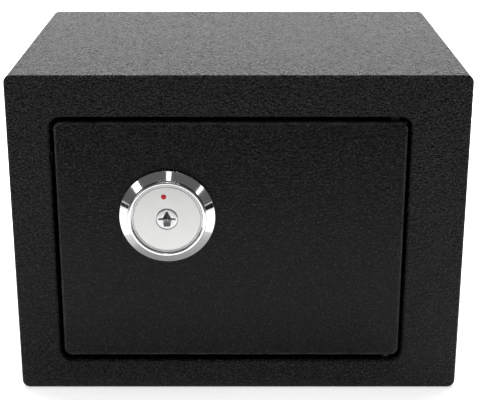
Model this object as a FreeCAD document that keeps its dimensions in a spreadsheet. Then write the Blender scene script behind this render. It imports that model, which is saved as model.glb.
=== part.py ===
import FreeCAD, Part
import math
import operator
import os
from types import SimpleNamespace

import Sketcher
from FreeCAD import Placement, Rotation, Vector

# A small steel key safe: a folded cabinet, a hinged door, a cross-key lock that
# throws two round bolts, and the plain hardware that holds them together.
# Millimetres. X runs to the right, Y to the back, Z up, with the origin under
# the middle of the cabinet. The door is shut and the bolts are drawn back.

SIZES = {
    # Cabinet shell
    "cabinet_width": 230,
    "cabinet_height": 170,
    "cabinet_depth": 170,
    "corner_radius": 4,
    "sheet_gauge": 1.5,
    "anchor_diameter": 10,
    "anchor_span": 120,
    "rear_anchor_height": 110,
    "floor_anchor_back": 10,
    # Front frame and its door opening
    "frame_gauge": 2,
    "frame_edge_radius": 1.1,
    "opening_left": -93.7,
    "opening_right": 85.6,
    "opening_bottom": 16.3,
    "opening_top": 148.7,
    "opening_radius": 5.5,
    "opening_roll": 1.5,
    "flange_depth": 8,
    "flange_end": 64.9,
    # Felt mat
    "mat_gauge": 2.5,
    "mat_gap": 4,
    "mat_front": -80,
    "mat_hole": 16,
    # Door leaf
    "door_left": -91.6,
    "door_right": 83.9,
    "door_bottom": 19.2,
    "door_top": 146.4,
    "door_radius": 3.8,
    "door_gauge": 3,
    "door_edge_radius": 1,
    # Hinge
    "hinge_across": 77.9,
    "hinge_deep": -78.5,
    "hinge_pin_diameter": 5,
    "hinge_head_diameter": 8,
    "hinge_head_height": 1.5,
    "hinge_play": 0.05,
    "bracket_width": 24,
    "bracket_notch": 10,
    "bracket_gauge": 2,
    "bracket_reach": 7,
    "bracket_leg": 12,
    "spacer_height": 3,
    "spacer_diameter": 6.6,
    "lug_radius": 5.5,
    "lug_height": 4,
    "lug_play": 0.1,
    "hinge_clip_diameter": 6.6,
    "clip_gauge": 0.8,
    "clip_diameter": 8,
    "groove_depth": 0.5,
    # Mechanism box on the back of the door
    "box_left": -84,
    "box_right": 14,
    "box_bottom": 34,
    "box_top": 132,
    "box_radius": 4,
    "box_depth": 27,
    "box_rim": 9.5,
    "box_screw_inset": 5,
    "cover_screw_diameter": 4,
    "cover_head_diameter": 7.6,
    "cover_head_height": 2.4,
    "cover_screw_length": 5.5,
    # Bolts and the carriage that carries them
    "bolt_diameter": 14,
    "bolt_deep": -67,
    "bolt_low": 49,
    "bolt_high": 117,
    "bolt_tip": -90,
    "bolt_length": 44,
    "bolt_tip_radius": 1.5,
    "bolt_play": 0.1,
    "carriage_front": -62,
    "carriage_gauge": 2,
    "carriage_left": -67,
    "carriage_right": -42,
    "carriage_bottom": 40,
    "carriage_top": 126,
    "arm_right": -22,
    "arm_bottom": 97,
    "arm_top": 113,
    "throw": 15,
    "guide_across": -62,
    "guide_low": 66,
    "guide_high": 100,
    "guide_diameter": 5,
    "guide_shoulder": 8,
    "guide_play": 0.1,
    "guide_washer": 10,
    "bolt_screw_diameter": 4,
    "bolt_screw_head": 7,
    "bolt_screw_first": -61,
    "bolt_screw_second": -50,
    # Lock, measured from its own axis
    "lock_across": -36,
    "lock_high": 97.3,
    "bezel_radius": 24.5,
    "bezel_rise": 5.7,
    "bezel_rim": 1.5,
    "lip_outer": 19.7,
    "lip_inner": 18.15,
    "lip_height": 1.55,
    "face_radius": 17.9,
    "face_front": -89.8,
    "face_back": -88.4,
    "barrel_radius": 11,
    "barrel_bore": 10,
    "barrel_end": -67,
    "head_back": -86.6,
    "barrel_play": 0.2,
    "plug_radius": 5.3,
    "plug_play": 0.05,
    "plug_window": 5.6,
    "collar_radius": 6.4,
    "keyway_across": 8.2,
    "keyway_height": 1.2,
    "keyway_tall": 8,
    "keyway_width": 1.8,
    "keyway_end": -70,
    "pin_first": -84,
    "pin_pitch": 4.5,
    "pin_radius": 1,
    "pin_play": 0.03,
    "driver_length": 2,
    "key_pin_inner": 2.9,
    "spring_wire": 0.3,
    "spring_radius": 0.7,
    "spring_pitch": 0.6,
    "nut_across_flats": 27,
    "nut_height": 4,
    "dot_across": -1.4,
    "dot_high": 11.7,
    "dot_radius": 1.35,
    # Crank on the tail of the lock plug
    "crank_radius": 10.607,
    "crank_end_radius": 6,
    "crank_gauge": 2.5,
    "crank_back": -64.1,
    "crank_pin_diameter": 5,
    "crank_pin_back": -58.7,
    "tail_square": 5,
    "crank_screw_diameter": 3,
    "crank_screw_head": 6.4,
    "crank_screw_rise": 1.8,
}

doc = FreeCAD.newDocument("safe")
table = doc.addObject("Spreadsheet::Sheet", "Sizes")
for row, (name, number) in enumerate(SIZES.items(), start=1):
    table.set(f"A{row}", name)
    table.set(f"B{row}", str(number))
    table.setAlias(f"B{row}", name)
doc.recompute()


class Size:
    """A dimension that knows its number and the expression that drives it."""

    SIGNS = {"+": operator.add, "-": operator.sub, "*": operator.mul, "/": operator.truediv}

    def __init__(self, value, text):
        self.value = value
        self.text = text

    def join(self, sign, other):
        other = size(other)
        value = self.SIGNS[sign](self.value, other.value)
        return Size(value, f"({self.text} {sign} {other.text})")

    def __add__(self, other):
        return self.join("+", other)

    def __sub__(self, other):
        return self.join("-", other)

    def __mul__(self, other):
        return self.join("*", other)

    def __truediv__(self, other):
        return self.join("/", other)

    def __neg__(self):
        return size(0).join("-", self)


def size(item):
    """Turn a plain number into a Size; leave a Size as it is."""
    if isinstance(item, Size):
        return item
    return Size(float(item), f"{item:.6f}")


s = SimpleNamespace(**{name: Size(float(number), f"Sizes.{name}") for name, number in SIZES.items()})


# --- Sketch drawing -----------------------------------------------------------

def drive(sketch, kind, where, item):
    """Add one dimension to a sketch and tie it to the sheet."""
    item = size(item)
    index = sketch.addConstraint(Sketcher.Constraint(kind, *where, item.value))
    sketch.setExpression(f"Constraints[{index}]", item.text)


def fix_point(sketch, curve, end, across, up):
    drive(sketch, "DistanceX", (-1, 1, curve, end), across)
    drive(sketch, "DistanceY", (-1, 1, curve, end), up)


def circle(sketch, across, up, radius):
    centre = Vector(size(across).value, size(up).value, 0)
    curve = sketch.addGeometry(Part.Circle(centre, Vector(0, 0, 1), size(radius).value), False)
    fix_point(sketch, curve, 3, across, up)
    drive(sketch, "Radius", (curve,), radius)


def line(sketch, start, end):
    return sketch.addGeometry(Part.LineSegment(Vector(*start, 0), Vector(*end, 0)), False)


def arc(sketch, across, up, radius, first_degree, last_degree):
    ring = Part.Circle(Vector(across, up, 0), Vector(0, 0, 1), radius)
    curve = Part.ArcOfCircle(ring, math.radians(first_degree), math.radians(last_degree))
    return sketch.addGeometry(curve, False)


def polygon(sketch, points):
    """Closed outline through the given corners, each corner dimensioned."""
    points = [(size(across), size(up)) for across, up in points]
    plain = [(across.value, up.value) for across, up in points]
    curves = [line(sketch, here, there) for here, there in zip(plain, plain[1:] + plain[:1])]
    for curve, follower, (across, up) in zip(curves, curves[1:] + curves[:1], points):
        sketch.addConstraint(Sketcher.Constraint("Coincident", curve, 2, follower, 1))
        fix_point(sketch, curve, 1, across, up)


def rectangle(sketch, left, right, bottom, top):
    polygon(sketch, [(left, bottom), (right, bottom), (right, top), (left, top)])


def rounded(sketch, left, right, bottom, top, radius):
    """Rectangle with four equal rounded corners."""
    west, east, south, north, bend = (size(item).value for item in (left, right, bottom, top, radius))
    sides = [
        line(sketch, (west + bend, south), (east - bend, south)),
        line(sketch, (east, south + bend), (east, north - bend)),
        line(sketch, (east - bend, north), (west + bend, north)),
        line(sketch, (west, north - bend), (west, south + bend)),
    ]
    corners = [
        arc(sketch, east - bend, south + bend, bend, -90, 0),
        arc(sketch, east - bend, north - bend, bend, 0, 90),
        arc(sketch, west + bend, north - bend, bend, 90, 180),
        arc(sketch, west + bend, south + bend, bend, 180, 270),
    ]
    for side, corner, follower in zip(sides, corners, sides[1:] + sides[:1]):
        sketch.addConstraint(Sketcher.Constraint("Tangent", side, 2, corner, 1))
        sketch.addConstraint(Sketcher.Constraint("Tangent", corner, 2, follower, 1))
    for side, direction in zip(sides, ("Horizontal", "Vertical") * 2):
        sketch.addConstraint(Sketcher.Constraint(direction, side))
    for corner in corners[1:]:
        sketch.addConstraint(Sketcher.Constraint("Equal", corners[0], corner))
    drive(sketch, "Radius", (corners[0],), radius)
    drive(sketch, "DistanceY", (-1, 1, sides[0], 1), bottom)
    drive(sketch, "DistanceX", (-1, 1, sides[1], 1), right)
    drive(sketch, "DistanceY", (-1, 1, sides[2], 1), top)
    drive(sketch, "DistanceX", (-1, 1, sides[3], 1), left)


def slot(sketch, start, end, radius):
    """Round-ended slot between two centres; it may lie flat or stand up."""
    (x0, y0), (x1, y1) = ([size(item).value for item in centre] for centre in (start, end))
    bend = size(radius).value
    heading = math.degrees(math.atan2(y1 - y0, x1 - x0))
    off_x = bend * math.sin(math.radians(heading))
    off_y = bend * math.cos(math.radians(heading))
    near = line(sketch, (x0 + off_x, y0 - off_y), (x1 + off_x, y1 - off_y))
    end_cap = arc(sketch, x1, y1, bend, heading - 90, heading + 90)
    far = line(sketch, (x1 - off_x, y1 + off_y), (x0 - off_x, y0 + off_y))
    start_cap = arc(sketch, x0, y0, bend, heading + 90, heading + 270)
    loop = [near, end_cap, far, start_cap]
    for curve, follower in zip(loop, loop[1:] + loop[:1]):
        sketch.addConstraint(Sketcher.Constraint("Tangent", curve, 2, follower, 1))
    fix_point(sketch, start_cap, 3, *start)
    fix_point(sketch, end_cap, 3, *end)
    drive(sketch, "Radius", (end_cap,), radius)


# --- Parts --------------------------------------------------------------------

pieces = []


class Piece:
    """One separate part of the safe, shaped by body features in turn."""

    # Sketch plane, and the sign that turns a position into an offset along its normal
    PLANES = {"front": ("XZ_Plane", -1), "top": ("XY_Plane", 1), "side": ("YZ_Plane", 1)}

    def __init__(self, label, at=(0, 0, 0), turn=None, count=1):
        self.body = doc.addObject("PartDesign::Body", label)
        self.body.Label = label
        self.body.AllowCompound = count > 1
        self.count = count
        self.body.Placement = Placement(Vector(), turn or Rotation())
        for letter, item in zip("xyz", at):
            self.body.setExpression(f".Placement.Base.{letter}", size(item).text)
        pieces.append(self)

    def sketch(self, view, position=0):
        role, sign = self.PLANES[view]
        new = self.body.newObject("Sketcher::SketchObject", f"{self.body.Name}_sketch")
        origin = self.body.Origin.OriginFeatures
        plane = next(item for item in origin if item.Role == role)
        new.AttachmentSupport = (plane, [""])
        new.MapMode = "FlatFace"
        new.setExpression(".AttachmentOffset.Base.z", (size(position) * sign).text)
        return new

    def feature(self, kind, profile):
        new = self.body.newObject(f"PartDesign::{kind}", f"{self.body.Name}_{kind.lower()}")
        new.Profile = profile
        profile.Visibility = False
        return new

    def pad(self, profile, length):
        """Add material along the sketch normal: forward, up or to the right."""
        new = self.feature("Pad", profile)
        new.setExpression("Length", size(length).text)
        doc.recompute()
        return new

    def cut(self, profile, length, both_ways=False):
        """Take material away against the sketch normal: back, down or to the left."""
        before = self.body.Shape.Volume
        new = self.feature("Pocket", profile)
        new.setExpression("Length", size(length).text)
        new.Midplane = both_ways
        doc.recompute()
        if self.body.Shape.Volume >= before:
            raise ValueError(f"{self.body.Label}: a cut removed nothing")
        return new

    def revolve(self, profile, cutting=False):
        """Turn a sketch a full circle about its own vertical axis."""
        new = self.feature("Groove" if cutting else "Revolution", profile)
        new.ReferenceAxis = (profile, ["V_Axis"])
        new.Angle = 360
        doc.recompute()
        return new

    def soften(self, radius, wanted):
        """Round every edge for which wanted(edge bounding box) is true."""
        tip = self.body.Tip
        names = [
            f"Edge{number}"
            for number, edge in enumerate(tip.Shape.Edges, start=1)
            if wanted(edge.BoundBox)
        ]
        new = self.body.newObject("PartDesign::Fillet", f"{self.body.Name}_round")
        new.Base = (tip, names)
        new.setExpression("Radius", size(radius).text)
        doc.recompute()
        return new


def flat(low, high, value):
    """True where an edge lies wholly in one plane."""
    return abs(low - value) < 1e-4 and abs(high - value) < 1e-4


def turned(label, view, profile, at, turn=None):
    """A part turned in a lathe: pairs of radius and position along the axis."""
    piece = Piece(label, at, turn)
    outline = piece.sketch(view)
    polygon(outline, profile)
    piece.revolve(outline)
    return piece


def studs(label, centres, steps):
    """Round studs or screws lying front to back, made of discs: back, front, radius."""
    piece = Piece(label, count=len(centres))
    for back, front, radius in steps:
        outline = piece.sketch("front", back)
        for across, up in centres:
            circle(outline, across, up, radius)
        piece.pad(outline, size(back) - front)
    return piece


def rings(label, centres, back, front, inner, outer):
    """Flat washers lying front to back."""
    piece = Piece(label, count=len(centres))
    outline = piece.sketch("front", back)
    for across, up in centres:
        circle(outline, across, up, outer)
        circle(outline, across, up, inner)
    piece.pad(outline, size(back) - front)
    return piece


half_width = s.cabinet_width / 2
front = -s.cabinet_depth / 2
back = s.cabinet_depth / 2
frame_back = front + s.frame_gauge


def cabinet_wrap():
    """Sheet folded round into the floor, the sides and the roof."""
    piece = Piece("cabinet_wrap")
    gauge = s.sheet_gauge
    outline = piece.sketch("front", back)
    rounded(outline, -half_width, half_width, 0, s.cabinet_height, s.corner_radius)
    rounded(
        outline, gauge - half_width, half_width - gauge,
        gauge, s.cabinet_height - gauge, s.corner_radius - gauge,
    )
    piece.pad(outline, s.cabinet_depth - s.frame_gauge)
    holes = piece.sketch("top", gauge)
    for side in (-1, 1):
        circle(holes, s.anchor_span / 2 * side, s.floor_anchor_back, s.anchor_diameter / 2)
    piece.cut(holes, gauge * 2)


def back_panel():
    """Plate set into the back of the wrap, with two wall anchor holes."""
    piece = Piece("back_panel")
    gauge = s.sheet_gauge
    outline = piece.sketch("front", back)
    rounded(
        outline, gauge - half_width, half_width - gauge,
        gauge, s.cabinet_height - gauge, s.corner_radius - gauge,
    )
    for side in (-1, 1):
        circle(outline, s.anchor_span / 2 * side, s.rear_anchor_height, s.anchor_diameter / 2)
    piece.pad(outline, gauge)


def front_frame():
    """Front plate with the door opening and a return flange behind three of its sides."""
    piece = Piece("front_frame")
    gauge = s.sheet_gauge
    opening = (s.opening_left, s.opening_right, s.opening_bottom, s.opening_top, s.opening_radius)
    outline = piece.sketch("front", frame_back)
    rounded(outline, -half_width, half_width, 0, s.cabinet_height, s.corner_radius)
    rounded(outline, *opening)
    piece.pad(outline, s.frame_gauge)

    flange = piece.sketch("front", frame_back + s.flange_depth)
    rounded(
        flange, s.opening_left - gauge, s.opening_right + gauge,
        s.opening_bottom - gauge, s.opening_top + gauge, s.opening_radius + gauge,
    )
    rounded(flange, *opening)
    piece.pad(flange, s.flange_depth)

    # The hinge side has no flange, so that the door edge can swing inward
    hinge_side = piece.sketch("front", frame_back)
    rectangle(hinge_side, s.flange_end, half_width - 10, s.opening_bottom - 10, s.opening_top + 10)
    piece.cut(hinge_side, s.flange_depth)

    plane = front.value
    reach = half_width.value - 14

    def outside(box):
        far = max(abs(box.XMin), abs(box.XMax)) > reach
        return flat(box.YMin, box.YMax, plane) and (far or box.ZMax < 10 or box.ZMin > 160)

    def inside(box):
        return flat(box.YMin, box.YMax, plane) and box.XMin > -reach and box.XMax < reach \
            and box.ZMin > 10 and box.ZMax < 160

    piece.soften(s.frame_edge_radius, outside)
    piece.soften(s.opening_roll, inside)


def floor_mat():
    """Felt mat on the floor, cut away over the anchor holes."""
    piece = Piece("floor_mat")
    edge = half_width - s.sheet_gauge - s.mat_gap
    outline = piece.sketch("top", s.sheet_gauge)
    rounded(outline, -edge, edge, s.mat_front, back - s.sheet_gauge - s.mat_gap, 3)
    for side in (-1, 1):
        circle(outline, s.anchor_span / 2 * side, s.floor_anchor_back, s.mat_hole / 2)
    piece.pad(outline, s.mat_gauge)


# Every hinge part is drawn about the hinge axis, with its zero height on the
# inner face of the upper bracket. The lower set is the same, turned upside down.
UPSIDE_DOWN = Rotation(Vector(0, 1, 0), 180)
hinge_sets = [
    ("upper", (s.hinge_across, s.hinge_deep, s.opening_top), None),
    ("lower", (s.hinge_across, s.hinge_deep, s.opening_bottom), UPSIDE_DOWN),
]
pin_radius = s.hinge_pin_diameter / 2
lug_top = -s.spacer_height - s.lug_play
lug_bottom = lug_top - s.lug_height
clip_top = lug_bottom - 0.2
clip_bottom = clip_top - s.clip_gauge


def hinge_bracket(label, at, turn):
    """Bent bracket behind the frame, notched to clear the head of the pin it holds."""
    piece = Piece(label, at, turn)
    face = frame_back - s.hinge_deep
    gauge = s.bracket_gauge
    outline = piece.sketch("side", -s.bracket_width / 2)
    polygon(outline, [
        (face, 0), (s.bracket_reach, 0), (s.bracket_reach, gauge),
        (face + gauge, gauge), (face + gauge, s.bracket_leg), (face, s.bracket_leg),
    ])
    piece.pad(outline, s.bracket_width)

    def outer_bend(box):
        return flat(box.YMin, box.YMax, face.value) and flat(box.ZMin, box.ZMax, 0)

    def inner_bend(box):
        inner = face.value + gauge.value
        return flat(box.YMin, box.YMax, inner) and flat(box.ZMin, box.ZMax, gauge.value)

    notch = piece.sketch("top", s.bracket_leg)
    side = s.bracket_notch / 2
    rectangle(notch, -side, side, face - 1, face + gauge * 2)
    piece.cut(notch, s.bracket_leg - gauge)
    piece.soften(gauge * 0.9, outer_bend)
    piece.soften(gauge / 2, inner_bend)
    hole = piece.sketch("top", gauge)
    circle(hole, 0, 0, pin_radius)
    piece.cut(hole, gauge)


def hinge_pin(label, at, turn):
    """Headed pin through the bracket, with a groove for its clip."""
    groove = pin_radius - s.groove_depth
    head = s.hinge_head_diameter / 2
    end = clip_bottom - 1.2
    turned(label, "front", [
        (0, end), (pin_radius - 0.5, end), (pin_radius, end + 0.5), (pin_radius, clip_bottom),
        (groove, clip_bottom), (groove, clip_top), (pin_radius, clip_top),
        (pin_radius, s.bracket_gauge), (head, s.bracket_gauge),
        (head, s.bracket_gauge + s.hinge_head_height * 0.6),
        (head - 0.9, s.bracket_gauge + s.hinge_head_height),
        (0, s.bracket_gauge + s.hinge_head_height),
    ], at, turn)


def hinge_lug(label, at, turn):
    """Round-ended lug on the back of the door that turns on the hinge pin."""
    piece = Piece(label, at, turn)
    web = piece.sketch("top", lug_bottom)
    rectangle(web, -s.lug_radius, s.lug_radius, front + s.door_gauge - s.hinge_deep, 0)
    piece.pad(web, s.lug_height)
    nose = piece.sketch("top", lug_bottom)
    circle(nose, 0, 0, s.lug_radius)
    piece.pad(nose, s.lug_height)
    door_face = front + s.door_gauge - s.hinge_deep
    spare = piece.sketch("top", lug_top)
    rectangle(spare, -s.lug_radius - 1, s.lug_radius + 1, -s.lug_radius - 1, door_face)
    piece.cut(spare, s.lug_height)
    hole = piece.sketch("top", lug_top)
    circle(hole, 0, 0, pin_radius + s.hinge_play)
    piece.cut(hole, s.lug_height)


def hinge_pair(label, bottom, top, inner, outer, split=None):
    """The same ring on both hinge pins, mirrored about the middle of the opening."""
    middle = (s.opening_top + s.opening_bottom) / 2
    rise = s.opening_top - middle
    piece = Piece(label, (s.hinge_across, s.hinge_deep, middle), count=2)
    for low in (rise + bottom, -rise - top):
        outline = piece.sketch("top", low)
        circle(outline, 0, 0, outer)
        circle(outline, 0, 0, inner)
        piece.pad(outline, size(top) - bottom)
    if split:
        mouth = piece.sketch("top", rise)
        rectangle(mouth, -split, split, 0, size(outer) + 1)
        piece.cut(mouth, rise * 2)


# --- Door ---------------------------------------------------------------------

door_front = front
door_back = front + s.door_gauge


def door_plate():
    piece = Piece("door_plate")
    outline = piece.sketch("front", door_back)
    rounded(outline, s.door_left, s.door_right, s.door_bottom, s.door_top, s.door_radius)
    circle(outline, s.lock_across, s.lock_high, s.barrel_radius + s.barrel_play)
    piece.pad(outline, s.door_gauge)

    def outside(box):
        near_lock = box.XMin > -60 and box.XMax < -10 and box.ZMin > 60 and box.ZMax < 125
        return flat(box.YMin, box.YMax, front.value) and not near_lock

    piece.soften(s.door_edge_radius, outside)


box_back = door_back + s.box_depth
box_edges = (s.box_left, s.box_right, s.box_bottom, s.box_top)
box_screws = [
    (across, up)
    for across in (s.box_left + s.box_screw_inset, s.box_right - s.box_screw_inset)
    for up in (s.box_bottom + s.box_screw_inset, s.box_top - s.box_screw_inset)
]


def inset(edges, by):
    left, right, bottom, top = edges
    return left + by, right - by, bottom + by, top - by


def mechanism_box():
    """Four walls on the back of the door with a rim for the cover."""
    piece = Piece("mechanism_box")
    gauge = s.sheet_gauge
    walls = piece.sketch("front", box_back)
    rounded(walls, *box_edges, s.box_radius)
    rounded(walls, *inset(box_edges, gauge), s.box_radius - gauge)
    piece.pad(walls, s.box_depth)
    rim = piece.sketch("front", box_back)
    rounded(rim, *inset(box_edges, gauge / 2), s.box_radius - gauge / 2)
    rounded(rim, *inset(box_edges, s.box_rim), s.box_radius)
    for across, up in box_screws:
        circle(rim, across, up, s.cover_screw_diameter / 2)
    piece.pad(rim, gauge)
    bores = piece.sketch("side", s.box_left + gauge * 2)
    for up in (s.bolt_low, s.bolt_high):
        circle(bores, s.bolt_deep, up, s.bolt_diameter / 2 + s.bolt_play)
    piece.cut(bores, gauge * 4)


def mechanism_cover():
    piece = Piece("mechanism_cover")
    outline = piece.sketch("front", box_back + s.sheet_gauge)
    rounded(outline, *box_edges, s.box_radius)
    for across, up in box_screws:
        circle(outline, across, up, s.cover_screw_diameter / 2 + 0.2)
    piece.pad(outline, s.sheet_gauge)


def cross_recess(piece, centres, position, span, width, depth):
    """Sink a cross drive into the back of every screw head."""
    for wide, tall in ((span, width), (width, span)):
        sketch = piece.sketch("front", size(position) - depth)
        for across, up in centres:
            rectangle(sketch, across - wide / 2, across + wide / 2, up - tall / 2, up + tall / 2)
        piece.cut(sketch, depth * 2)


def cover_screws():
    seat = box_back + s.sheet_gauge
    crown = seat + s.cover_head_height
    head = s.cover_head_diameter / 2
    piece = studs("cover_screws", box_screws, [
        (seat, seat - s.cover_screw_length, s.cover_screw_diameter / 2),
        (crown, seat, head),
    ])
    piece.soften(s.cover_head_height * 0.6, lambda box: flat(box.YMin, box.YMax, crown.value))
    cross_recess(piece, box_screws, crown, 4, 0.9, 1.4)


# --- Bolts and carriage -------------------------------------------------------

carriage_back = s.carriage_front + s.carriage_gauge
guides = [(s.guide_across, up) for up in (s.guide_low, s.guide_high)]
washer_front = carriage_back + 0.2
guide_clip_front = washer_front + 1
guide_clip_back = guide_clip_front + s.clip_gauge
bolt_screw_centres = [
    (across, up)
    for across in (s.bolt_screw_first, s.bolt_screw_second)
    for up in (s.bolt_low, s.bolt_high)
]


def carriage_guides():
    """Shouldered studs on the door that the carriage slides along."""
    shank = s.guide_diameter / 2
    studs("carriage_guides", guides, [
        (s.carriage_front - 0.1, door_back, s.guide_shoulder / 2),
        (guide_clip_front, s.carriage_front - 0.1, shank),
        (guide_clip_back, guide_clip_front, shank - s.groove_depth),
        (guide_clip_back + 0.8, guide_clip_back, shank),
    ])


def guide_clips():
    piece = rings(
        "guide_clips", guides, guide_clip_back, guide_clip_front,
        s.guide_diameter / 2 - s.groove_depth, s.clip_diameter / 2,
    )
    mouth = piece.sketch("front", guide_clip_front)
    for across, up in guides:
        rectangle(mouth, across - 1.4, across + 1.4, up - 5, up)
    piece.cut(mouth, s.clip_gauge)


def carriage_plate():
    """Plate that carries both bolts, with two guide slots and the crank slot."""
    piece = Piece("carriage_plate")
    outline = piece.sketch("front", carriage_back)
    polygon(outline, [
        (s.carriage_left, s.carriage_bottom), (s.carriage_right, s.carriage_bottom),
        (s.carriage_right, s.arm_bottom), (s.arm_right, s.arm_bottom),
        (s.arm_right, s.arm_top), (s.carriage_right, s.arm_top),
        (s.carriage_right, s.carriage_top), (s.carriage_left, s.carriage_top),
    ])
    for across, up in guides:
        slot(outline, (across, up), (across + s.throw, up), s.guide_diameter / 2 + s.guide_play)
    crank_across = s.lock_across + s.throw / 2
    slot(
        outline,
        (crank_across, s.lock_high + s.throw / 2 - 0.5),
        (crank_across, s.lock_high + s.crank_radius + 0.5),
        s.crank_pin_diameter / 2 + 0.5,
    )
    for across, up in bolt_screw_centres:
        circle(outline, across, up, s.bolt_screw_diameter / 2 + 0.1)
    piece.pad(outline, s.carriage_gauge)
    corners = (s.carriage_left, s.carriage_right, s.arm_right)

    def upright(box):
        across = any(flat(box.XMin, box.XMax, item.value) for item in corners)
        long = box.YLength > s.carriage_gauge.value - 1e-3
        return across and long and box.ZLength < 1e-3

    piece.soften(2, upright)


def bolt(label, up):
    """Round locking bolt with a flat and tapped holes for the carriage."""
    piece = Piece(label)
    radius = s.bolt_diameter / 2
    outline = piece.sketch("side", s.bolt_tip)
    circle(outline, s.bolt_deep, up, radius)
    piece.pad(outline, s.bolt_length)
    piece.soften(s.bolt_tip_radius, lambda box: flat(box.XMin, box.XMax, s.bolt_tip.value))
    flat_face = piece.sketch("side", s.bolt_tip + s.bolt_length)
    rectangle(flat_face, s.carriage_front, s.carriage_front + radius, up - radius, up + radius)
    piece.cut(flat_face, s.bolt_tip + s.bolt_length - s.carriage_left + 0.5)
    taps = piece.sketch("front", s.carriage_front - 8)
    for across in (s.bolt_screw_first, s.bolt_screw_second):
        circle(taps, across, up, s.bolt_screw_diameter / 2)
    piece.cut(taps, 8)


def bolt_screws():
    crown = carriage_back + 2.2
    piece = studs("bolt_screws", bolt_screw_centres, [
        (carriage_back, carriage_back - 9, s.bolt_screw_diameter / 2),
        (crown, carriage_back, s.bolt_screw_head / 2),
    ])
    piece.soften(1.2, lambda box: flat(box.YMin, box.YMax, crown.value))
    cross_recess(piece, bolt_screw_centres, crown, 4, 0.9, 1.3)


# --- Lock ---------------------------------------------------------------------

lock_axis = (s.lock_across, 0, s.lock_high)
shear = s.plug_radius + s.plug_play
PIN_ROWS = 3


def lock_bezel():
    """Bright rosette: an upright rim, a shallow cone and a rounded lip."""
    bore = s.barrel_radius + s.barrel_play
    crest = front - s.bezel_rise
    rim = front - s.bezel_rim
    foot = crest + s.lip_height
    turned("lock_bezel", "top", [
        (bore, front), (s.bezel_radius, front), (s.bezel_radius, rim + 0.4),
        (s.bezel_radius - 0.2, rim + 0.15), (s.bezel_radius - 0.6, rim),
        (s.lip_outer + 0.25, foot), (s.lip_outer + 0.05, foot - 0.45), (s.lip_outer, crest + 0.6),
        (s.lip_outer - 0.2, crest + 0.25), (s.lip_outer - 0.6, crest),
        (s.lip_inner + 0.6, crest), (s.lip_inner + 0.2, crest + 0.2),
        (s.lip_inner, crest + 0.55), (s.lip_inner, s.head_back), (bore, s.head_back),
    ], lock_axis)


def lock_housing():
    """Threaded steel barrel with a flat head that clamps the rosette."""
    turned("lock_housing", "top", [
        (s.barrel_bore, s.face_back), (s.face_radius, s.face_back), (s.face_radius, s.head_back),
        (s.barrel_radius, s.head_back), (s.barrel_radius, s.barrel_end),
        (s.barrel_bore, s.barrel_end),
    ], lock_axis)


def pin_rows(piece, view, position=0, radius=None):
    """Sketch one straight row of pins, front to back, on a plane beside the lock axis."""
    sketch = piece.sketch(view, position)
    for number in range(PIN_ROWS):
        along = s.pin_first + s.pin_pitch * number
        centre = (0, along) if view == "top" else (along, 0)
        circle(sketch, *centre, radius or s.pin_radius + s.pin_play)
    return sketch


def lock_cylinder():
    """Brass cylinder with the plug bore and four rows of pin chambers."""
    bore = s.plug_radius + s.plug_play
    pocket = s.collar_radius + s.plug_play
    shoulder = s.face_back + 0.9
    piece = turned("lock_cylinder", "top", [
        (bore, shoulder), (pocket, shoulder), (pocket, s.face_back), (s.barrel_bore, s.face_back),
        (s.barrel_bore, s.barrel_end), (bore, s.barrel_end),
    ], lock_axis)
    for view in ("top", "side"):
        piece.cut(pin_rows(piece, view), s.barrel_bore * 2 + 1, both_ways=True)


def lock_face():
    """Satin disc in front of the cylinder, with a raised rim and a seat for the dot."""
    piece = turned("lock_face", "top", [
        (s.plug_window, s.face_back), (s.plug_window, s.face_front),
        (s.face_radius - 0.9, s.face_front), (s.face_radius - 0.75, s.face_front - 0.25),
        (s.face_radius - 0.15, s.face_front - 0.25), (s.face_radius, s.face_front),
        (s.face_radius, s.face_back),
    ], lock_axis)
    seat = piece.sketch("front", s.face_front)
    circle(seat, s.dot_across, s.dot_high, s.dot_radius)
    piece.cut(seat, 0.5)


def index_dot():
    """Red dot that shows which way up the key goes in."""
    piece = Piece("index_dot", lock_axis)
    outline = piece.sketch("front", s.face_front + 0.5)
    circle(outline, s.dot_across, s.dot_high, s.dot_radius)
    piece.pad(outline, 0.55)


def lock_fixing_nut():
    piece = Piece("lock_fixing_nut", lock_axis)
    outline = piece.sketch("front", door_back + s.nut_height)
    corner = s.nut_across_flats / math.sqrt(3)
    polygon(outline, [
        (corner * math.cos(math.radians(angle)), corner * math.sin(math.radians(angle)))
        for angle in range(0, 360, 60)
    ])
    circle(outline, 0, 0, s.barrel_radius)
    piece.pad(outline, s.nut_height)


def pin_set(label, inner, outer):
    """Twelve round pins in four rows, reaching from one radius to another."""
    piece = Piece(label, lock_axis, count=4 * PIN_ROWS)
    length = size(outer) - inner
    for view in ("top", "side"):
        for low in (size(inner), -size(outer)):
            piece.pad(pin_rows(piece, view, low, s.pin_radius), length)
    return piece


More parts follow.
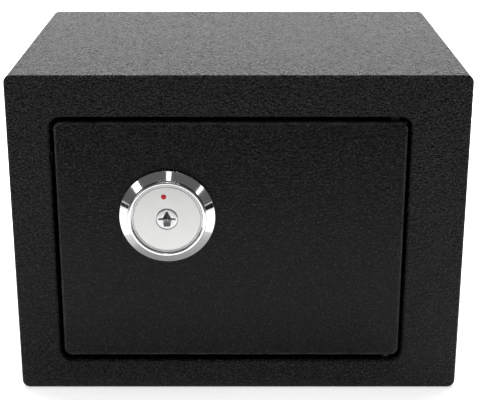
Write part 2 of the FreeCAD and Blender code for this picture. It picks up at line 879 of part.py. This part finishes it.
def pin_springs():
    """Coil springs that press the driver pins toward the plug."""
    piece = Piece("pin_springs", lock_axis, count=4 * PIN_ROWS)
    start = shear + s.driver_length + s.spring_wire / 2 + 0.1
    wire = piece.sketch("side")
    wire.setExpression(".AttachmentOffset.Base.x", s.pin_first.text)
    circle(wire, s.spring_radius, start, s.spring_wire / 2)
    coil = piece.feature("AdditiveHelix", wire)
    coil.ReferenceAxis = (wire, ["V_Axis"])
    coil.Mode = "pitch-height-angle"
    coil.setExpression("Pitch", s.spring_pitch.text)
    coil.setExpression("Height", (s.barrel_bore - start - s.spring_wire / 2 - 0.05).text)
    doc.recompute()
    origin = piece.body.Origin.OriginFeatures
    row = piece.body.newObject("PartDesign::LinearPattern", "spring_row")
    row.Direction = (next(item for item in origin if item.Role == "Y_Axis"), [""])
    row.setExpression("Length", (s.pin_pitch * (PIN_ROWS - 1)).text)
    row.Occurrences = PIN_ROWS
    around = piece.body.newObject("PartDesign::PolarPattern", "spring_rows")
    around.Axis = (next(item for item in origin if item.Role == "Y_Axis"), [""])
    around.Angle = 360
    around.Occurrences = 4
    every = piece.body.newObject("PartDesign::MultiTransform", "springs")
    every.Originals = [coil]
    every.Transformations = [row, around]
    piece.body.Tip = every
    doc.recompute()


def lock_plug():
    """Turning plug with its cross keyway, retaining collar and square tail."""
    radius = s.plug_radius
    collar_front = s.face_back + 0.05
    piece = turned("lock_plug", "top", [
        (0, s.face_front), (radius, s.face_front), (radius, collar_front),
        (s.collar_radius, collar_front), (s.collar_radius, s.face_back + 0.8),
        (radius, s.face_back + 0.8), (radius, s.barrel_end), (0, s.barrel_end),
    ], lock_axis)
    tail = piece.sketch("front", s.crank_back)
    point = s.tail_square / math.sqrt(2)
    polygon(tail, [(point, 0), (0, point), (-point, 0), (0, -point)])
    piece.pad(tail, s.crank_back - s.barrel_end)
    for wide, tall in ((s.keyway_across, s.keyway_height), (s.keyway_width, s.keyway_tall)):
        arm = piece.sketch("front", s.face_front)
        rectangle(arm, -wide / 2, wide / 2, -tall / 2, tall / 2)
        piece.cut(arm, s.keyway_end - s.face_front)
    mouth = piece.sketch("top")
    polygon(mouth, [(0, s.face_front - 0.2), (2.7, s.face_front - 0.2), (0, s.face_front + 2)])
    piece.revolve(mouth, cutting=True)
    for view in ("top", "side"):
        for low in (radius + 1, -(s.key_pin_inner - 0.3)):
            depth = radius + 1 - (s.key_pin_inner - 0.3)
            piece.cut(pin_rows(piece, view, low), depth)
    tap = piece.sketch("front", s.crank_back - 5)
    circle(tap, 0, 0, s.crank_screw_diameter / 2)
    piece.cut(tap, 5)


# The crank stands at forty-five degrees to the right of upright while the bolts are back
CRANK_TURN = Rotation(Vector(0, -1, 0), 45)
crank_front = s.crank_back - s.crank_gauge


def crank():
    """Arm on the plug's tail that carries the crank pin."""
    piece = Piece("crank", lock_axis, CRANK_TURN)
    outline = piece.sketch("front", s.crank_back)
    slot(outline, (0, 0), (s.crank_radius, 0), s.crank_end_radius)
    edge = s.tail_square / 2
    rectangle(outline, -edge, edge, -edge, edge)
    circle(outline, s.crank_radius, 0, s.crank_pin_diameter / 2)
    piece.pad(outline, s.crank_gauge)


def crank_pin():
    piece = Piece("crank_pin", lock_axis, CRANK_TURN)
    outline = piece.sketch("front", s.crank_pin_back)
    circle(outline, s.crank_radius, 0, s.crank_pin_diameter / 2)
    piece.pad(outline, s.crank_pin_back - crank_front)
    piece.soften(0.5, lambda box: flat(box.YMin, box.YMax, s.crank_pin_back.value))


def crank_screw():
    piece = Piece("crank_screw", lock_axis)
    crown = s.crank_back + s.crank_screw_rise
    shank = piece.sketch("front", s.crank_back)
    circle(shank, 0, 0, s.crank_screw_diameter / 2)
    piece.pad(shank, 5)
    head = piece.sketch("front", crown)
    circle(head, 0, 0, s.crank_screw_head / 2)
    piece.pad(head, s.crank_screw_rise)
    piece.soften(0.9, lambda box: flat(box.YMin, box.YMax, crown.value))
    cross_recess(piece, [(size(0), size(0))], crown, 3.4, 0.8, 1.1)


cabinet_wrap()
back_panel()
front_frame()
floor_mat()
for name, at, turn in hinge_sets:
    hinge_bracket(f"{name}_hinge_bracket", at, turn)
    hinge_pin(f"{name}_hinge_pin", at, turn)
    hinge_lug(f"{name}_hinge_lug", at, turn)
hinge_pair("hinge_spacers", -s.spacer_height, 0, pin_radius, s.spacer_diameter / 2)
hinge_pair(
    "hinge_clips", clip_bottom, clip_top,
    pin_radius - s.groove_depth, s.hinge_clip_diameter / 2, split=1.4,
)
door_plate()
mechanism_box()
mechanism_cover()
cover_screws()
carriage_guides()
rings(
    "guide_washers", guides, guide_clip_front, washer_front,
    s.guide_diameter / 2, s.guide_washer / 2,
)
guide_clips()
carriage_plate()
bolt("upper_bolt", s.bolt_high)
bolt("lower_bolt", s.bolt_low)
bolt_screws()
lock_bezel()
lock_housing()
lock_cylinder()
lock_face()
index_dot()
lock_fixing_nut()
pin_set("driver_pins", shear + 0.05, shear + 0.05 + s.driver_length)
pin_springs()
pin_set("key_pins", s.key_pin_inner, s.plug_radius - 0.05)
lock_plug()
crank()
crank_pin()
crank_screw()

doc.recompute()
for item in doc.Objects:
    if "Invalid" in item.State or "Error" in item.State:
        raise ValueError(f"{item.Label}: {item.State}")

os.makedirs("parts", exist_ok=True)
for piece in pieces:
    shape = piece.body.Shape
    label = piece.body.Label
    if shape.isNull() or not shape.isValid():
        raise ValueError(f"{label}: the shape is not valid")
    if len(shape.Solids) != piece.count:
        raise ValueError(f"{label}: {len(shape.Solids)} solids where {piece.count} belong")
    shape.exportStep(f"parts/{label}.step")
    print(label, len(shape.Solids), round(shape.Volume, 1), shape.BoundBox)
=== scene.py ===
import math

import bmesh
import bpy
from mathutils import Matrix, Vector, noise


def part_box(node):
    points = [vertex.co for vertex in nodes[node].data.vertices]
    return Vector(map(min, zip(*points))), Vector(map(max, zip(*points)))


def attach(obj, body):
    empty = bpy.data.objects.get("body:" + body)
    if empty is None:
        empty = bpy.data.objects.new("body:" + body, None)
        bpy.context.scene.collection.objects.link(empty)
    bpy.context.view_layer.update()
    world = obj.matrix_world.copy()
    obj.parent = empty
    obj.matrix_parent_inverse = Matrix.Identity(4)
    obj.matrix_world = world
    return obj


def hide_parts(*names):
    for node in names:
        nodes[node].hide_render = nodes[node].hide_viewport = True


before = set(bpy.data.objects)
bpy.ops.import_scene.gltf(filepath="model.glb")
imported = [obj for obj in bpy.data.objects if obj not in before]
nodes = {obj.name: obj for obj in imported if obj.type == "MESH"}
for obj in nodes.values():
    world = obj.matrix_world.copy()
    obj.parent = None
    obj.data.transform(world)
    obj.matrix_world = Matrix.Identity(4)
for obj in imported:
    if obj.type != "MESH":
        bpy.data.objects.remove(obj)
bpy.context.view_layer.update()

MM = 0.001
WHITE = (1.0, 1.0, 1.0, 1.0)


def grey(level):
    return (level, level, level)


# --- Camera -------------------------------------------------------------------

def make_camera():
    """A long lens in front of the safe, a little above it and tipped down."""
    data = bpy.data.cameras.new("camera")
    data.sensor_width = 36.0
    data.lens = 90.2
    data.shift_x = 0.003
    data.clip_start = 0.01
    camera = bpy.data.objects.new("camera", data)
    bpy.context.scene.collection.objects.link(camera)
    camera.location = (0.0, -0.657, 0.3061)
    tip_down = 19.30
    camera.rotation_euler = (math.radians(90.0 - tip_down), 0.0, 0.0)
    bpy.context.scene.camera = camera


make_camera()


# --- Node helpers -------------------------------------------------------------

class Shader:
    """A shorthand for building one node material."""

    def __init__(self, name):
        self.material = bpy.data.materials.new(name)
        self.material.use_nodes = True
        self.tree = self.material.node_tree
        self.tree.nodes.clear()
        self.output = self.add("ShaderNodeOutputMaterial")
        self.surface = self.add("ShaderNodeBsdfPrincipled")
        self.link(self.surface.outputs["BSDF"], self.output.inputs["Surface"])
        self.place = self.add("ShaderNodeTexCoord").outputs["Object"]

    def add(self, kind, **settings):
        node = self.tree.nodes.new(kind)
        for key, value in settings.items():
            setattr(node, key, value)
        return node

    def link(self, source, target):
        self.tree.links.new(source, target)

    def set(self, **values):
        for key, value in values.items():
            self.surface.inputs[key.replace("_", " ")].default_value = value

    def noise(self, scale, detail=2.0, roughness=0.5, place=None, distortion=0.0):
        node = self.add("ShaderNodeTexNoise")
        node.inputs["Scale"].default_value = scale
        node.inputs["Detail"].default_value = detail
        node.inputs["Roughness"].default_value = roughness
        node.inputs["Distortion"].default_value = distortion
        self.link(place or self.place, node.inputs["Vector"])
        return node.outputs["Fac"]

    def math(self, operation, first, second=0.0, third=0.0):
        node = self.add("ShaderNodeMath", operation=operation)
        for socket, value in zip(node.inputs, (first, second, third)):
            if isinstance(value, (int, float)):
                socket.default_value = value
            else:
                self.link(value, socket)
        return node.outputs[0]

    def spread(self, source, low, high, start=0.0, end=1.0):
        """Map a pattern that runs from start to end onto the range low to high."""
        node = self.add("ShaderNodeMapRange")
        self.link(source, node.inputs["Value"])
        limits = {"From Min": start, "From Max": end, "To Min": low, "To Max": high}
        for name, value in limits.items():
            node.inputs[name].default_value = value
        return node.outputs["Result"]

    def tint(self, source, dark, light):
        """Blend two colours, or a blend and a colour, into the base colour."""
        node = self.add("ShaderNodeMix", data_type="RGBA")
        self.link(source, node.inputs["Factor"])
        for name, colour in (("A", dark), ("B", light)):
            socket = [item for item in node.inputs if item.name == name and item.type == "RGBA"][0]
            if isinstance(colour, tuple):
                socket.default_value = (*colour, 1.0)
            else:
                self.link(colour, socket)
        result = [item for item in node.outputs if item.type == "RGBA"][0]
        self.link(result, self.surface.inputs["Base Color"])
        return result

    def edges(self, reach, breakup):
        """Mark the edges within reach, where the finish is worn and a painted edge highlight lies,
        broken up into patches.
        """
        rounded = self.add("ShaderNodeBevel", samples=6)
        rounded.inputs["Radius"].default_value = reach
        true = self.add("ShaderNodeNewGeometry")
        dot = self.add("ShaderNodeVectorMath", operation="DOT_PRODUCT")
        self.link(rounded.outputs["Normal"], dot.inputs[0])
        self.link(true.outputs["Normal"], dot.inputs[1])
        bend = self.spread(dot.outputs["Value"], 1.0, 0.0, 0.93, 0.995)
        return self.math("MULTIPLY", bend, self.spread(breakup, 0.3, 1.0, 0.35, 0.65))

    def bump(self, height, depth, strength=1.0):
        node = self.add("ShaderNodeBump")
        node.inputs["Distance"].default_value = depth
        node.inputs["Strength"].default_value = strength
        self.link(height, node.inputs["Height"])
        self.link(node.outputs["Normal"], self.surface.inputs["Normal"])


def powder_coat(name, cell, depth, swell, roughness, painted_glint, rub_and_edge_highlight):
    """Black textured powder coat: rounded grains, their crowns lightened in the base colour as a
    painted highlight.

    cell is the size of a grain and depth its height, in metres. swell is the share of slow
    waviness. The crown lightness is a painted highlight; the edge lightness is partly wear and
    partly a painted edge highlight.
    """
    shade = Shader(name)
    shade.set(Specular_IOR_Level=0.17)
    warp = shade.add("ShaderNodeTexNoise")
    warp.inputs["Scale"].default_value = 1.0 / (cell * 1.3)
    warp.inputs["Detail"].default_value = 1.0
    shade.link(shade.place, warp.inputs["Vector"])
    offset = shade.add("ShaderNodeVectorMath", operation="MULTIPLY_ADD")
    shade.link(warp.outputs["Color"], offset.inputs[0])
    offset.inputs[1].default_value = (cell * 0.9,) * 3
    shade.link(shade.place, offset.inputs[2])
    grain = shade.add("ShaderNodeTexVoronoi", feature="F1")
    grain.inputs["Scale"].default_value = 1.0 / cell
    grain.inputs["Randomness"].default_value = 0.9
    shade.link(offset.outputs[0], grain.inputs["Vector"])
    dome = shade.spread(grain.outputs["Distance"], 1.0, 0.0, 0.05, 0.75)
    fine = shade.noise(1.0 / (cell * 0.4), 2.0)
    peel = shade.noise(1.0 / (cell * 2.3), 1.5)
    drift = shade.noise(1.0 / (cell * 9.0), 2.0)
    height = shade.math("MULTIPLY_ADD", fine, 0.25, dome)
    height = shade.math("MULTIPLY_ADD", peel, swell, height)
    shade.bump(height, depth)
    relief = shade.math("MULTIPLY_ADD", fine, 0.5, shade.math("MULTIPLY", dome, 0.75))
    # Painted highlight: the grain crowns get a lighter base colour in place of glints from the
    # lamps.
    crown = shade.math("POWER", relief, 5.5)
    patchy = shade.math("MULTIPLY", crown, shade.spread(peel, 0.7, 1.3, 0.3, 0.7))
    coat = shade.tint(patchy, grey(0.0008), (painted_glint, painted_glint, painted_glint * 1.02))
    uneven = shade.math("MULTIPLY_ADD", peel, 0.8, shade.math("MULTIPLY", drift, 0.2))
    gloss = shade.spread(uneven, roughness - 0.1, roughness + 0.14, 0.3, 0.7)
    # Lighter edges: partly worn paint, partly a painted edge highlight, strongest on the door.
    worn_and_highlit_edges = shade.edges(1.6 * MM, drift)
    shade.tint(worn_and_highlit_edges, coat, grey(rub_and_edge_highlight))
    smoother = shade.math("MULTIPLY_ADD", worn_and_highlit_edges, -0.12, gloss)
    shade.link(smoother, shade.surface.inputs["Roughness"])
    return shade.material


def metal(name, dark, light, low, high, grain=2500.0, depth=0.00001,
          stretch=(1.0, 1.0, 1.0), bare=1.0):
    """Plated or machined metal with cloudy colour, fine grain and uneven gloss.

    Roughness runs from low to high. bare is 1 for plain metal and less under a pale lacquer.
    """
    shade = Shader(name)
    shade.set(Metallic=bare)
    mapping = shade.add("ShaderNodeMapping")
    mapping.inputs["Scale"].default_value = stretch
    shade.link(shade.place, mapping.inputs["Vector"])
    cloud = shade.noise(120.0, 3.0)
    fine = shade.noise(grain, 2.0, place=mapping.outputs["Vector"])
    shade.tint(cloud, dark, light)
    both = shade.math("MULTIPLY_ADD", fine, 0.5, shade.math("MULTIPLY", cloud, 0.5))
    shade.link(shade.spread(both, low, high, 0.25, 0.75), shade.surface.inputs["Roughness"])
    shade.bump(fine, depth, 0.5)
    return shade.material


def enamel(name, colour):
    """Glossy paint with a slight unevenness."""
    shade = Shader(name)
    shade.set(Coat_Weight=0.3, Coat_Roughness=0.1, Specular_IOR_Level=0.3)
    cloud = shade.noise(900.0, 2.0)
    shade.tint(cloud, tuple(c * 0.8 for c in colour), colour)
    shade.link(shade.spread(cloud, 0.25, 0.4), shade.surface.inputs["Roughness"])
    shade.bump(cloud, 0.00001)
    return shade.material


def felt(name):
    """Needle felt: short tangled fibres in two close greys."""
    shade = Shader(name)
    shade.set(Sheen_Weight=0.4, Sheen_Roughness=0.5)
    cloud = shade.noise(220.0, 4.0, 0.7)
    fibre = shade.noise(2600.0, 6.0, 0.8, distortion=1.5)
    both = shade.math("MULTIPLY_ADD", fibre, 0.6, shade.math("MULTIPLY", cloud, 0.4))
    shade.tint(both, (0.012, 0.012, 0.014), (0.055, 0.056, 0.062))
    shade.link(shade.spread(cloud, 0.85, 1.0), shade.surface.inputs["Roughness"])
    shade.bump(both, 0.0004)
    return shade.material


# The last figure is the edge lightness: partly wear, and on the door mostly a painted edge
# highlight.
black_frame = powder_coat("powder_coat_frame", 1.0 * MM, 0.00044, 0.6, 0.26, 0.075, 0.03)
black_wrap = powder_coat("powder_coat_wrap", 1.0 * MM, 0.00070, 1.6, 0.24, 0.07, 0.03)
black_door = powder_coat("powder_coat_door", 0.95 * MM, 0.00014, 0.6, 0.32, 0.058, 0.12)
chrome = metal("lock_chrome", (0.78, 0.785, 0.79), (0.84, 0.84, 0.845), 0.04, 0.09, 500.0, 0.000001)
satin = metal("lock_satin", (0.75, 0.745, 0.735), (0.83, 0.83, 0.825), 0.28, 0.38, 6000.0, 0.000006,
              bare=0.6)
nickel = metal("plug_nickel", (0.66, 0.66, 0.66), (0.78, 0.78, 0.77), 0.18, 0.30, 5000.0, 0.000008)
zinc = metal("zinc_plate", (0.50, 0.51, 0.51), (0.68, 0.67, 0.63), 0.25, 0.42, 3000.0, 0.00001)
ground = metal("bolt_steel", (0.55, 0.56, 0.57), (0.70, 0.70, 0.71), 0.16, 0.30, 2500.0, 0.00001,
               stretch=(8.0, 1.0, 1.0))
wire = metal("spring_wire", (0.35, 0.35, 0.36), (0.5, 0.5, 0.5), 0.25, 0.4)
blackened = metal("blackened_steel", (0.035, 0.035, 0.037), (0.07, 0.07, 0.07), 0.3, 0.45)
brass = metal("lock_brass", (0.62, 0.47, 0.20), (0.78, 0.62, 0.32), 0.2, 0.34)
red = enamel("index_red", (0.56, 0.004, 0.012))
felt_grey = felt("felt_mat")

FINISHES = {
    "cabinet_wrap": black_wrap, "back_panel": black_frame, "front_frame": black_frame,
    "door_plate": black_door, "mechanism_box": black_door, "mechanism_cover": black_door,
    "lock_bezel": chrome, "lock_face": satin, "lock_plug": nickel, "index_dot": red,
    "upper_bolt": ground, "lower_bolt": ground, "pin_springs": wire,
    "upper_hinge_bracket": black_frame, "lower_hinge_bracket": black_frame,
    "upper_hinge_lug": black_door, "lower_hinge_lug": black_door,
    "upper_hinge_pin": blackened, "lower_hinge_pin": blackened,
    "hinge_spacers": blackened, "hinge_clips": blackened,
    # Key pins take the darker spring steel so that where they poke into the keyway they look like
    # its shade: painted shade.
    "lock_cylinder": brass, "driver_pins": brass, "key_pins": wire, "floor_mat": felt_grey,
}
for name, node in nodes.items():
    node.data.materials.clear()
    node.data.materials.append(FINISHES.get(name, zinc))


# --- Turned lock pieces -------------------------------------------------------

low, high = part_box("lock_bezel")
LOCK = Vector(((low[0] + high[0]) / 2, 0.0, (low[2] + high[2]) / 2))


def eased(corners, steps=6):
    """Round each corner of a closed outline: a corner is (radius, depth, rounding)."""
    points = []
    count = len(corners)
    for index, (across, deep, rounding) in enumerate(corners):
        here = Vector((across, deep))
        before = Vector(corners[index - 1][:2]) - here
        after = Vector(corners[(index + 1) % count][:2]) - here
        if rounding == 0:
            points.append(here)
            continue
        half = before.angle(after) / 2
        reach = rounding / math.tan(half)
        start = here + before.normalized() * reach
        end = here + after.normalized() * reach
        inward = (before.normalized() + after.normalized()).normalized()
        centre = here + inward * (rounding / math.sin(half))
        first = start - centre
        sweep = first.angle_signed(end - centre)
        for step in range(steps + 1):
            turn = -sweep * step / steps
            spun = Vector((
                first.x * math.cos(turn) - first.y * math.sin(turn),
                first.x * math.sin(turn) + first.y * math.cos(turn),
            ))
            points.append(centre + spun)
    return points


def finish_piece(name, shape, material, body, node):
    """Turn a bmesh into a smooth piece that stands for a CAD node."""
    bmesh.ops.remove_doubles(shape, verts=shape.verts, dist=1e-7)
    bmesh.ops.recalc_face_normals(shape, faces=shape.faces)
    mesh = bpy.data.meshes.new(name)
    shape.to_mesh(mesh)
    shape.free()
    mesh.shade_smooth()
    mesh.set_sharp_from_angle(angle=math.radians(35.0))
    mesh.materials.append(material)
    piece = bpy.data.objects.new(name, mesh)
    bpy.context.scene.collection.objects.link(piece)
    weighted = piece.modifiers.new("weighted", "WEIGHTED_NORMAL")
    weighted.keep_sharp = True
    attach(piece, body)
    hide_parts(node)
    return piece


def lathe(outline, segments=180):
    """Spin a closed outline of (radius, depth) in millimetres about the lock's axis."""
    shape = bmesh.new()
    rings = []
    for number in range(segments):
        turn = math.tau * number / segments
        rings.append([
            shape.verts.new((
                LOCK.x + across * MM * math.cos(turn), deep * MM,
                LOCK.z + across * MM * math.sin(turn),
            ))
            for across, deep in outline
        ])
    for number, ring in enumerate(rings):
        following = rings[(number + 1) % segments]
        for index in range(len(outline)):
            after = (index + 1) % len(outline)
            shape.faces.new((ring[index], ring[after], following[after], following[index]))
    return shape


# Depths along Y and outlines of (radius, depth, rounding), in millimetres.
DOOR_FRONT, RECESS, CREST = -85.0, -86.6, -90.7
FACE_FRONT, FACE_BACK = -89.8, -88.4
BEZEL = [
    (18.15, RECESS, 0.0), (18.15, CREST, 0.5), (19.7, CREST, 0.55), (20.0, -89.1, 0.2),
    (24.2, -86.5, 0.25), (24.5, DOOR_FRONT, 0.0), (11.2, DOOR_FRONT, 0.0), (11.2, RECESS, 0.0),
]
FACE = [
    (5.6, FACE_BACK, 0.0), (5.6, FACE_FRONT, 0.15), (16.75, FACE_FRONT, 0.35),
    (17.0, -89.2, 0.12), (17.25, -89.2, 0.12), (17.35, -89.75, 0.18),
    (17.9, -89.75, 0.2), (17.9, FACE_BACK, 0.0),
]

finish_piece("bezel_chrome", lathe(eased(BEZEL)), chrome, "door", "lock_bezel")
finish_piece("face_disc", lathe(eased(FACE)), satin, "door", "lock_face")


def skin(rings_of_points):
    """Join rings of points into a closed shape, each ring to the next, with both ends capped."""
    shape = bmesh.new()
    rings = [[shape.verts.new(point) for point in points] for points in rings_of_points]
    for first, second in zip(rings, rings[1:]):
        for index in range(len(first)):
            after = (index + 1) % len(first)
            shape.faces.new((first[index], first[after], second[after], second[index]))
    shape.faces.new(rings[0])
    shape.faces.new(rings[-1])
    return shape


def even_turns(segments):
    return [math.tau * number / segments for number in range(segments)]


def dome():
    """Enamel dot: a low dome in a shallow ring."""
    low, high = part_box("index_dot")
    centre = [(low[axis] + high[axis]) / 2 for axis in range(3)]
    radius = (high[0] - low[0]) / 2
    brim = low[1] - 0.02 * MM
    rise = 0.22 * MM
    profile = [(1.0, high[1]), (1.0, low[1] + 0.04 * MM), (0.96, brim)]
    profile += [(math.cos(a), brim - rise * math.sin(a)) for a in (0.55, 0.85, 1.15, 1.4)]
    return skin(
        [
            (
                centre[0] + radius * share * math.cos(turn), deep,
                centre[2] + radius * share * math.sin(turn),
            )
            for turn in even_turns(48)
        ]
        for share, deep in profile
    )


finish_piece("index_dome", dome(), red, "door", "index_dot")


def arm_reach(turn, along, length, root, tip):
    """How far a ray from the centre runs inside one tapering arm of the keyway."""
    off = math.remainder(turn - along, math.tau)
    if abs(off) > 1.5:
        return 0.0
    taper = (root - tip) * math.cos(off) / length
    return min(length / math.cos(off), root / (abs(math.sin(off)) + taper))


# The arms of the cross keyway: direction, length, and width at the root and the tip.
UPPER_ARM = (math.pi / 2, 3.9, 2.1, 0.45)
LOWER_ARM = (-math.pi / 2, 3.9, 2.3, 1.5)
RIGHT_ARM = (0.0, 4.2, 0.55, 0.4)
LEFT_ARM = (math.pi, 4.2, 0.55, 0.4)


def keyway(turn):
    arms = (UPPER_ARM, LOWER_ARM, RIGHT_ARM, LEFT_ARM)
    return max(arm_reach(turn, *arm) for arm in arms)


def plug_profile(turn):
    """The plug's (radius, depth) corners at one angle, from the keyway's floor to the tail."""
    front, shoulder, tail = FACE_FRONT, -88.35, -67.0
    slot = keyway(turn)
    in_mouth = arm_reach(turn, *LOWER_ARM) > 0.99 * slot
    square = 5.0 / math.sqrt(2) / (abs(math.cos(turn)) + abs(math.sin(turn)))
    return [
        (slot * (0.25 if in_mouth else 0.94), front + 11.0),
        (slot * (0.3 if in_mouth else 0.95), front + (2.4 if in_mouth else 3.0)),
        (slot, front + 0.25), (slot + 0.12, front + 0.02),
        (4.75, front), (5.0, front + 0.02), (5.2, front + 0.1), (5.28, front + 0.25),
        (5.3, shoulder), (6.4, shoulder), (6.4, shoulder + 0.75), (5.3, shoulder + 0.75),
        (5.3, tail), (square, tail), (square, tail + 2.9),
    ]


def plug():
    """The turning plug: a cross keyway whose lower arm opens in a sloping, faceted mouth."""
    turns = even_turns(240)
    levels = zip(*(plug_profile(turn) for turn in turns))
    return skin(
        [
            (
                LOCK.x + across * MM * math.cos(turn), deep * MM,
                LOCK.z + across * MM * math.sin(turn),
            )
            for turn, (across, deep) in zip(turns, level)
        ]
        for level in levels
    )


finish_piece("plug_nickel", plug(), nickel, "key_plug", "lock_plug")


# --- Felt mat -----------------------------------------------------------------

def mat():
    """A laid felt mat: soft edges, a faint waviness and two punched holes."""
    low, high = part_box("floor_mat")
    thick = (high[2] - low[2]) * 0.86
    columns, rows = 110, 80
    inset = 0.4 * MM
    ripple, ripples_per_metre = 0.18 * MM, 28.0
    shape = bmesh.new()
    grid = []
    for j in range(rows + 1):
        line = []
        for i in range(columns + 1):
            x = low[0] + inset + (high[0] - low[0] - 2 * inset) * i / columns
            y = low[1] + inset + (high[1] - low[1] - 2 * inset) * j / rows
            swell = noise.noise(Vector((x * ripples_per_metre, y * ripples_per_metre, 3.1)))
            line.append(shape.verts.new((x, y, low[2] + thick + swell * ripple)))
        grid.append(line)
    for j in range(rows):
        for i in range(columns):
            shape.faces.new((grid[j][i], grid[j][i + 1], grid[j + 1][i + 1], grid[j + 1][i]))
    walls = bmesh.ops.extrude_face_region(shape, geom=shape.faces[:])
    for item in walls["geom"]:
        if isinstance(item, bmesh.types.BMVert):
            item.co.z = low[2] + 0.02 * MM
    bmesh.ops.recalc_face_normals(shape, faces=shape.faces)
    mesh = bpy.data.meshes.new("mat_felt")
    shape.to_mesh(mesh)
    shape.free()
    mesh.materials.append(felt_grey)
    piece = bpy.data.objects.new("mat_felt", mesh)
    bpy.context.scene.collection.objects.link(piece)
    punches = []
    hole_radius = 8.0 * MM
    for x in (-0.06, 0.06):
        bpy.ops.mesh.primitive_cylinder_add(
            vertices=64, radius=hole_radius, depth=0.02, location=(x, 0.01, low[2]),
        )
        punch = bpy.context.object
        cut = piece.modifiers.new("punch", "BOOLEAN")
        cut.operation = "DIFFERENCE"
        cut.object = punch
        punches.append(punch)
    bpy.context.view_layer.update()
    evaluated = piece.evaluated_get(bpy.context.evaluated_depsgraph_get())
    shaped = bpy.data.meshes.new_from_object(evaluated)
    piece.modifiers.clear()
    piece.data = shaped
    for punch in punches:
        bpy.data.objects.remove(punch)
    shaped.shade_smooth()
    shaped.set_sharp_from_angle(angle=math.radians(40.0))
    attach(piece, "cabinet")
    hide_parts("floor_mat")


mat()


# --- Floor, lights and backdrop -----------------------------------------------

def lay_flat(name, centre, height, reach, far, near):
    """A flat rectangle, reach wide to each side of centre, that stays out of the model."""
    mesh = bpy.data.meshes.new(name)
    corners = [(-reach, far, 0.0), (reach, far, 0.0), (reach, near, 0.0), (-reach, near, 0.0)]
    mesh.from_pydata(corners, [], [(0, 1, 2, 3)])
    plane = bpy.data.objects.new(name, mesh)
    plane.location = (centre, 0.0, height)
    bpy.context.scene.collection.objects.link(plane)
    return plane


def make_floor():
    floor = lay_flat("floor", 0.0, -0.2 * MM, 6.0, -6.0, 6.0)
    shade = Shader("floor_pale")
    cloud = shade.noise(3.0, 2.0)
    shade.tint(cloud, grey(0.86), grey(0.90))
    shade.set(Roughness=0.9, Specular_IOR_Level=0.1)
    shade.set(Emission_Color=WHITE, Emission_Strength=0.62)
    floor.data.materials.append(shade.material)


def area_light(name, place, aim, size, power, tall=None, beam=180.0):
    """A softbox at place that faces aim. Size and tall are metres, beam is degrees."""
    data = bpy.data.lights.new(name, "AREA")
    data.energy = power
    data.size = size
    data.spread = math.radians(beam)
    if tall:
        data.shape = "RECTANGLE"
        data.size_y = tall
    lamp = bpy.data.objects.new(name, data)
    lamp.visible_camera = False
    lamp.location = place
    lamp.rotation_euler = (Vector(aim) - Vector(place)).to_track_quat("-Z", "Y").to_euler()
    bpy.context.scene.collection.objects.link(lamp)
    return lamp


def make_world():
    """White to the eye, and a dim even fill as a source of light."""
    world = bpy.data.worlds.new("studio")
    world.use_nodes = True
    tree = world.node_tree
    tree.nodes.clear()
    output = tree.nodes.new("ShaderNodeOutputWorld")
    mix = tree.nodes.new("ShaderNodeMixShader")
    path = tree.nodes.new("ShaderNodeLightPath")
    tree.links.new(path.outputs["Is Camera Ray"], mix.inputs[0])
    for socket, strength in ((1, 0.12), (2, 1.0)):
        background = tree.nodes.new("ShaderNodeBackground")
        background.inputs["Color"].default_value = WHITE
        background.inputs["Strength"].default_value = strength
        tree.links.new(background.outputs[0], mix.inputs[socket])
    tree.links.new(mix.outputs[0], output.inputs["Surface"])
    bpy.context.scene.world = world


def make_card(name, centre, near, far, reach, dark, light, painted_glow=0.0):
    """A card lying in front of the safe that only reflections see, darkest at its near edge; its
    colour is painted shade in the reflected floor.
    """
    card = lay_flat(name, centre, 2.0 * MM, reach, far, near)
    for ray in ("camera", "diffuse", "transmission", "shadow"):
        setattr(card, "visible_" + ray, False)
    shade = Shader(name + "_paint")
    split = shade.add("ShaderNodeSeparateXYZ")
    shade.link(shade.place, split.inputs["Vector"])
    ramp = shade.spread(split.outputs["Y"], 0.0, 1.0, near, far)
    shade.tint(ramp, grey(dark), grey(light))
    shade.set(Roughness=1.0, Specular_IOR_Level=0.0)
    shade.set(Emission_Color=WHITE, Emission_Strength=painted_glow)
    card.data.materials.append(shade.material)


make_floor()
# Painted reflection: a dark card seen only in reflections, making the floor in front of the safe
# look dark there.
make_card("painted_dark_reflection_front", 0.0, -0.42, -2.4, 2.2, 0.05, 0.07)
# Painted shadow and glow: a card at the safe's foot, seen only in reflections, darker near the safe
# and glowing faintly.
make_card("painted_foot_shadow_reflection", -0.036, -0.089, -0.15, 0.12, 0.36, 0.95, painted_glow=0.22)
make_world()
lock_front = (-0.036, -0.09, 0.096)
area_light("panel_behind", (0.0, 1.5, 0.50), (0.0, 0.0, 0.17), 2.4, 10.5, tall=0.34)
area_light("softbox_top", (0.0, 0.3, 1.1), (0.0, 0.1, 0.0), 0.9, 4.0, beam=95.0)
area_light("strip_front", (-0.036, -1.0, 0.95), lock_front, 0.15, 0.5, tall=0.8)
area_light("softbox_left", (-0.96, -0.94, 0.46), lock_front, 0.32, 1.2, tall=0.5)
area_light("strip_right", (0.9, -0.92, 0.46), lock_front, 0.05, 0.2, tall=0.5)
for name, place, aim, size, power in (
    ("wash_behind", (0.0, 0.95, 1.3), (0.0, 0.95, 0.0), 1.6, 14.0),
    ("wash_front", (0.0, -0.42, 1.1), (0.0, -0.2, 0.0), 0.5, 0.24),
):
    area_light(name, place, aim, size, power, beam=70.0).visible_glossy = False
bpy.context.scene.view_settings.view_transform = "Standard"
